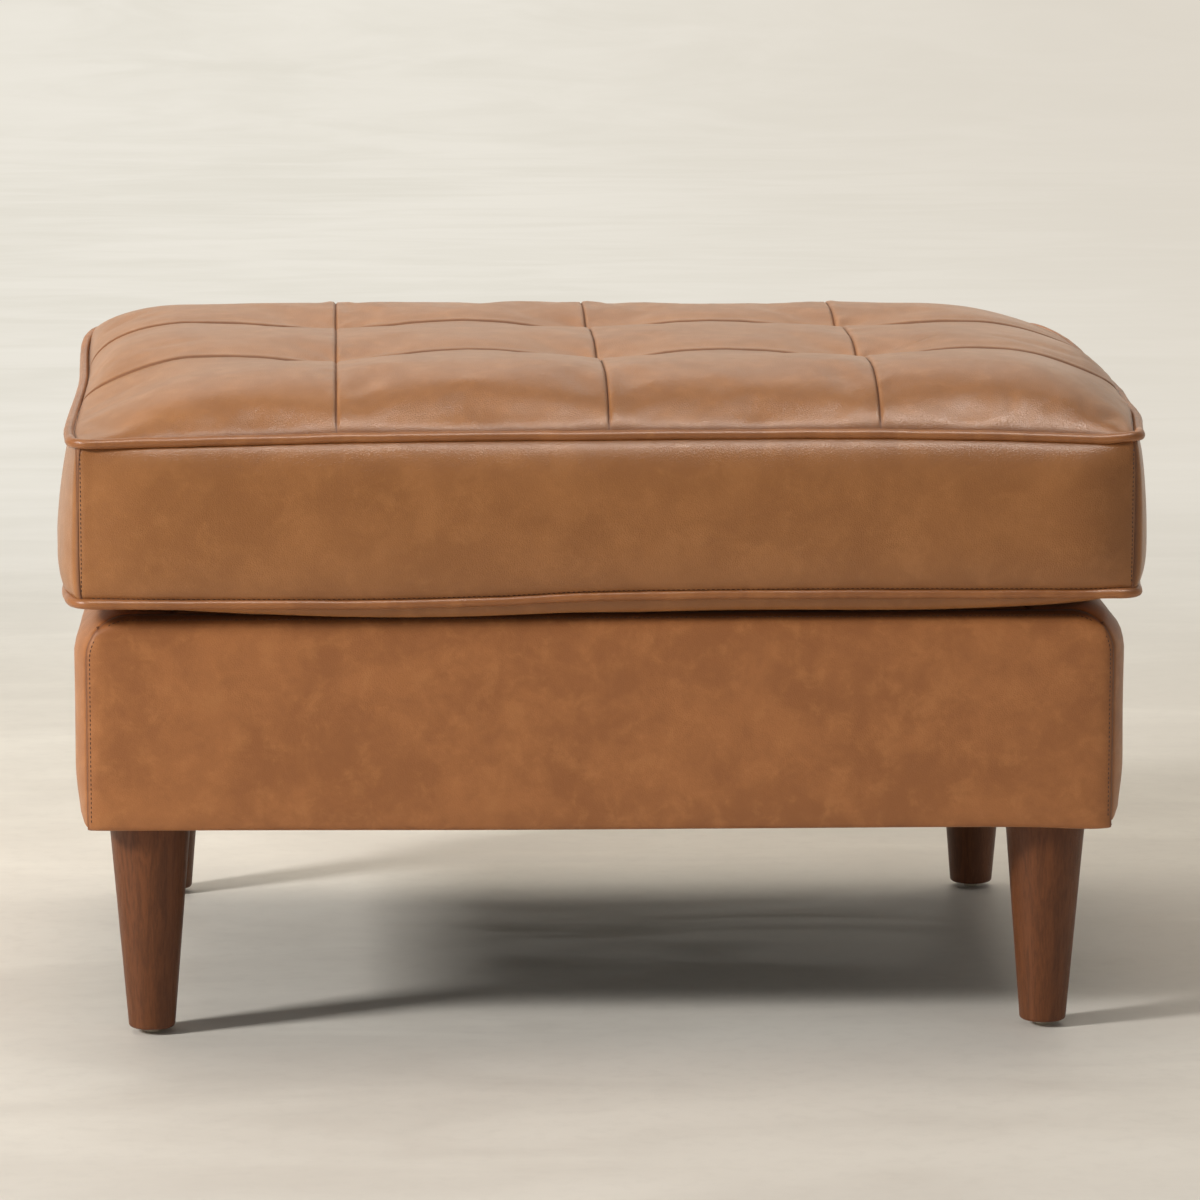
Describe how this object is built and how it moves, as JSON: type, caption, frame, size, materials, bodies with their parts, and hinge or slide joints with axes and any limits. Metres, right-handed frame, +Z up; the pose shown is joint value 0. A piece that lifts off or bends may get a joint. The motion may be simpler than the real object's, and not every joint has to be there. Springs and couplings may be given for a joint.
{
  "type": "tufted ottoman",
  "caption": "Leather ottoman: a loose piped box cushion with a blind-tufted crown on a rounded leather-covered base with tapered turned legs.",
  "frame": {"origin": "on the floor, under the middle of the cushion's outline", "axes": "+Z up, +X to the right along the long side, -Y towards the front, the side that the picture shows"},
  "size_m": [0.76, 0.5913, 0.4653],
  "materials": {
    "cushion_leather": "satin",
    "piping_leather": "satin",
    "base_leather": "satin",
    "cord": "matte",
    "foam": "matte",
    "wadding": "matte",
    "fibreboard": "matte",
    "zip_tape": "matte",
    "zip_metal": "satin",
    "deck_cloth": "matte",
    "spring_cloth": "matte",
    "spring_steel": "satin",
    "timber": "matte",
    "fixing_steel": "satin",
    "dust_cloth": "matte",
    "leg_wood": "satin",
    "glide_plastic": "satin"
  },
  "bodies": {
    "base": {"front_panel": "base_leather", "rear_panel": "base_leather", "left_panel": "base_leather", "right_panel": "base_leather", "deck_strips": "base_leather", "deck_foam": "foam", "rail_padding": "foam", "deck_cloth": "deck_cloth", "spring_cover": "spring_cloth", "sinuous_springs": "spring_steel", "spring_clips": "spring_steel", "front_rail": "timber", "rear_rail": "timber", "left_rail": "timber", "right_rail": "timber", "centre_slat": "timber", "corner_blocks": "timber", "t_nuts": "fixing_steel", "hanger_bolts": "fixing_steel", "dust_cover_staples": "fixing_steel", "dust_cover": "dust_cloth", "leg_front_left": "leg_wood", "leg_front_right": "leg_wood", "leg_rear_left": "leg_wood", "leg_rear_right": "leg_wood", "glide_front_left": "glide_plastic", "glide_front_right": "glide_plastic", "glide_rear_left": "glide_plastic", "glide_rear_right": "glide_plastic"},
    "cushion": {"top_cover": "cushion_leather", "front_boxing": "cushion_leather", "left_boxing": "cushion_leather", "right_boxing": "cushion_leather", "rear_boxing_upper": "cushion_leather", "rear_boxing_lower": "cushion_leather", "bottom_cover": "cushion_leather", "top_piping": "piping_leather", "bottom_piping": "piping_leather", "piping_cords": "cord", "tuft_twines": "cord", "foam_core": "foam", "fibre_wadding": "wadding", "tuft_anchors": "fibreboard", "zip_tapes": "zip_tape", "zip_teeth": "zip_metal", "zip_stops": "zip_metal"},
    "zip_slider": {"zip_slider": "zip_metal"},
    "zip_pull": {"zip_pull": "zip_metal"}
  },
  "joints": [
    {"name": "cushion_lift", "type": "slide", "parent": "base", "child": "cushion", "axis": [0, 0, 1], "range_m": [0, 0.15]},
    {"name": "zip_travel", "type": "slide", "parent": "cushion", "child": "zip_slider", "axis": [-1, 0, 0], "range_m": [0, 0.587]},
    {"name": "zip_pull_swing", "type": "hinge", "parent": "zip_slider", "child": "zip_pull", "pos_m": [0.2937, 0.2933, 0.3665], "axis": [0, 0, -1], "range_deg": [0, 180]}
  ]
}
